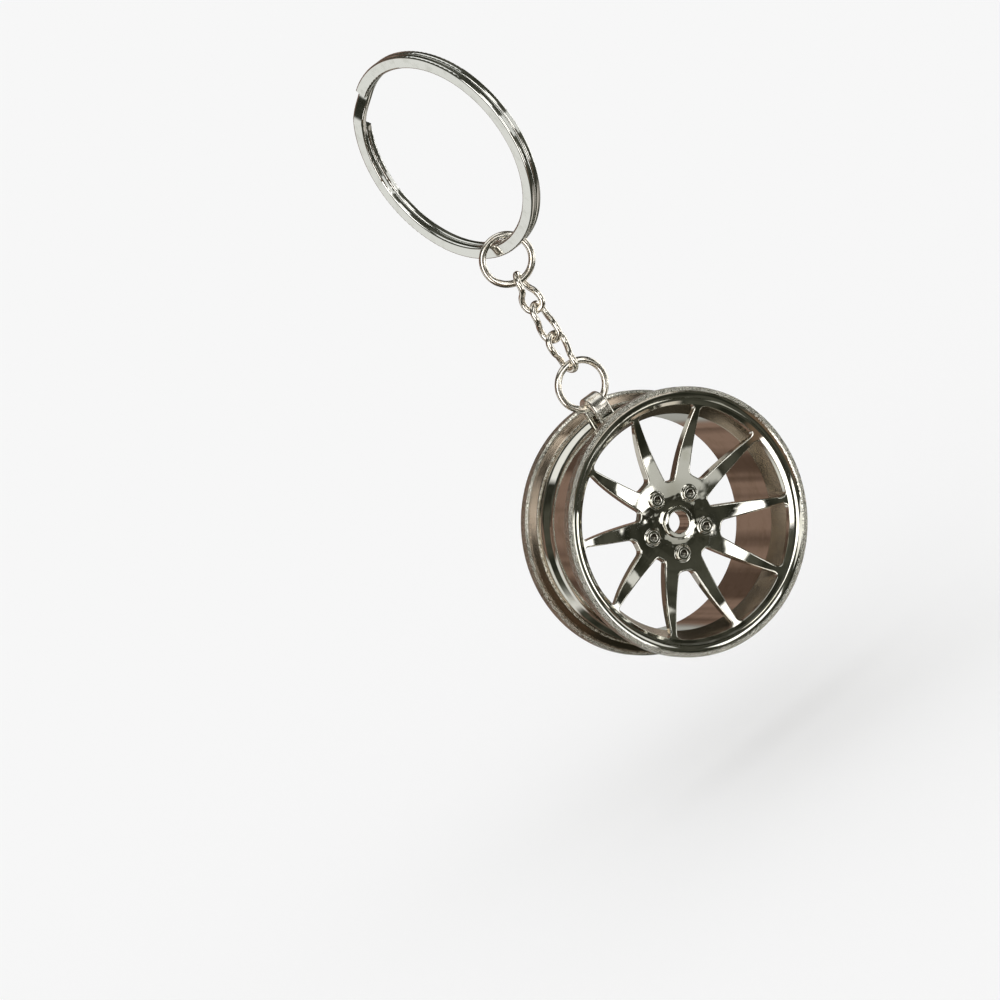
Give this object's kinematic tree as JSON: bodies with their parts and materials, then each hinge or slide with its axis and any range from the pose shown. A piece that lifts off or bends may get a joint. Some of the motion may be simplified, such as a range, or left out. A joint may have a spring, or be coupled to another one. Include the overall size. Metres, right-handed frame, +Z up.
{
  "type": "wheel rim keychain",
  "caption": "Split key ring and short curb chain between two jump rings, carrying a small cast wheel with a dished spoked face, an open barrel and a strap bail.",
  "frame": {"origin": "inside top of the split ring, where it hangs on a hook or finger", "axes": "+Z up, along the hanging chain; +Y along the wheel's axis, from its spoked front to its open back; +X across the wheel"},
  "size_m": [0.038, 0.0314, 0.096],
  "materials": {
    "ring_steel": "polished",
    "chain_nickel": "polished",
    "barrel_nickel": "polished",
    "face_nickel": "polished"
  },
  "bodies": {
    "split_ring": {"split_ring": "ring_steel"},
    "upper_jump_ring": {"upper_jump_ring": "chain_nickel"},
    "chain_link_1": {"chain_link_1": "chain_nickel"},
    "chain_link_2": {"chain_link_2": "chain_nickel"},
    "chain_link_3": {"chain_link_3": "chain_nickel"},
    "lower_jump_ring": {"lower_jump_ring": "chain_nickel"},
    "wheel": {"wheel_barrel": "barrel_nickel", "wheel_face": "face_nickel"}
  },
  "joints": [
    {"name": "upper_ring_slide", "type": "hinge", "parent": "split_ring", "child": "upper_jump_ring", "pos_m": [0, 0, -0.01415], "axis": [0.9703, 0.2419, 0], "range_deg": [-120, 120]},
    {"name": "link_1_swing", "type": "hinge", "parent": "upper_jump_ring", "child": "chain_link_1", "pos_m": [0, 0, -0.03459], "axis": [-0.9397, 0.342, 0], "range_deg": [-100, 100]},
    {"name": "link_2_swing", "type": "hinge", "parent": "chain_link_1", "child": "chain_link_2", "pos_m": [0, 0, -0.03949], "axis": [0.766, -0.6428, 0], "range_deg": [-90, 90]},
    {"name": "link_3_swing", "type": "hinge", "parent": "chain_link_2", "child": "chain_link_3", "pos_m": [0, 0, -0.04444], "axis": [-0.5, 0.866, 0], "range_deg": [-90, 90]},
    {"name": "lower_ring_swing", "type": "hinge", "parent": "chain_link_3", "child": "lower_jump_ring", "pos_m": [0, 0, -0.04939], "axis": [0.1736, -0.9848, 0], "range_deg": [-50, 50]},
    {"name": "wheel_swing", "type": "hinge", "parent": "lower_jump_ring", "child": "wheel", "pos_m": [0, 0, -0.05539], "axis": [-0.9848, 0.1736, 0], "range_deg": [-65, 65]}
  ]
}
